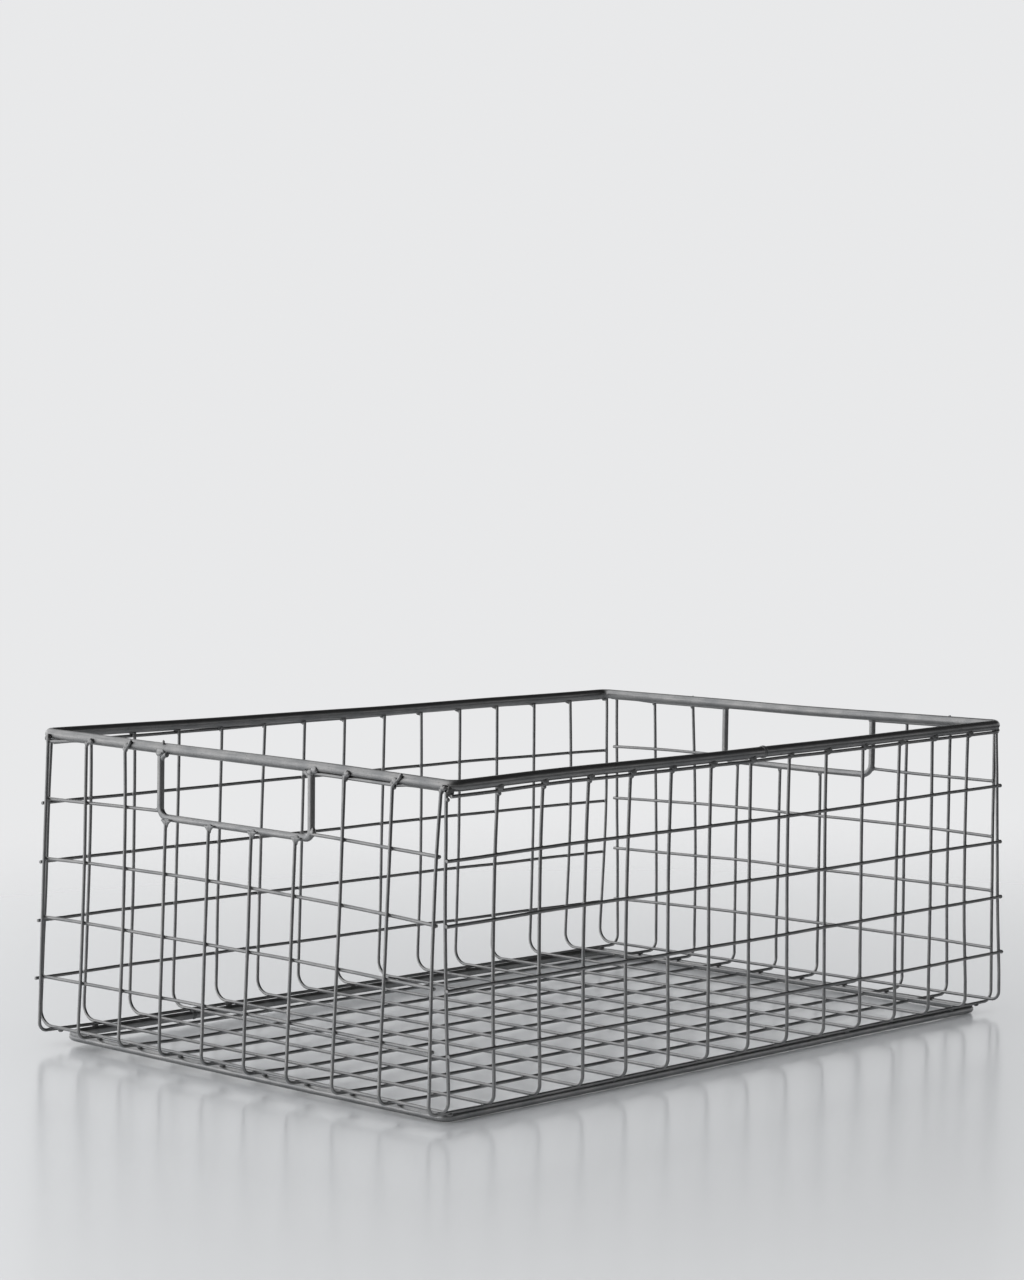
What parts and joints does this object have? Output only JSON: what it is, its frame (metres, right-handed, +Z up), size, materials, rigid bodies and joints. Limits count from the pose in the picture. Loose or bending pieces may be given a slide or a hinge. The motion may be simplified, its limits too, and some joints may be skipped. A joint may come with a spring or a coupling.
{
  "type": "metal storage crate",
  "caption": "Open rectangular wire mesh storage crate with a heavy rod rim, a rod base ring to stand on and a hand hold in each short end.",
  "frame": {"origin": "middle of the crate, at the surface it stands on", "axes": "+X along the length, from the end that the picture shows on the left to the other end; +Y along the width, from the near long side to the far one; +Z up"},
  "size_m": [0.4472, 0.2896, 0.1585],
  "materials": {
    "mesh_wire": "bare dark iron wire, satin, with heat marks at the welds",
    "handle_rod": "bare dark iron rod, satin, with bright weld beads",
    "rim_rod": "bare dark iron rod, satin, with weld beads where the wires meet it",
    "base_rod": "bare dark iron rod, satin, with dark weld spots"
  },
  "bodies": {
    "root": {"wire_along_01": "mesh_wire", "wire_along_02": "mesh_wire", "wire_along_03": "mesh_wire", "wire_along_04": "mesh_wire", "wire_along_05": "mesh_wire", "wire_along_06": "mesh_wire", "wire_along_07": "mesh_wire", "wire_along_08": "mesh_wire", "wire_along_09": "mesh_wire", "wire_along_10": "mesh_wire", "wire_across_01": "mesh_wire", "wire_across_02": "mesh_wire", "wire_across_03": "mesh_wire", "wire_across_04": "mesh_wire", "wire_across_05": "mesh_wire", "wire_across_06": "mesh_wire", "wire_across_07": "mesh_wire", "wire_across_08": "mesh_wire", "wire_across_09": "mesh_wire", "wire_across_10": "mesh_wire", "wire_across_11": "mesh_wire", "wire_across_12": "mesh_wire", "wire_across_13": "mesh_wire", "wire_across_14": "mesh_wire", "wire_across_15": "mesh_wire", "near_side_row_1": "mesh_wire", "near_side_row_2": "mesh_wire", "near_side_row_3": "mesh_wire", "near_side_row_4": "mesh_wire", "near_side_top_wire": "mesh_wire", "far_side_row_1": "mesh_wire", "far_side_row_2": "mesh_wire", "far_side_row_3": "mesh_wire", "far_side_row_4": "mesh_wire", "far_side_top_wire": "mesh_wire", "left_end_row_1": "mesh_wire", "left_end_row_2": "mesh_wire", "left_end_row_3": "mesh_wire", "left_end_row_4_near": "mesh_wire", "left_end_row_4_far": "mesh_wire", "left_end_top_wire_near": "mesh_wire", "left_end_top_wire_far": "mesh_wire", "right_end_row_1": "mesh_wire", "right_end_row_2": "mesh_wire", "right_end_row_3": "mesh_wire", "right_end_row_4_near": "mesh_wire", "right_end_row_4_far": "mesh_wire", "right_end_top_wire_near": "mesh_wire", "right_end_top_wire_far": "mesh_wire", "handle_left": "handle_rod", "handle_right": "handle_rod", "top_rim": "rim_rod", "base_ring": "base_rod"}
  },
  "joints": []
}
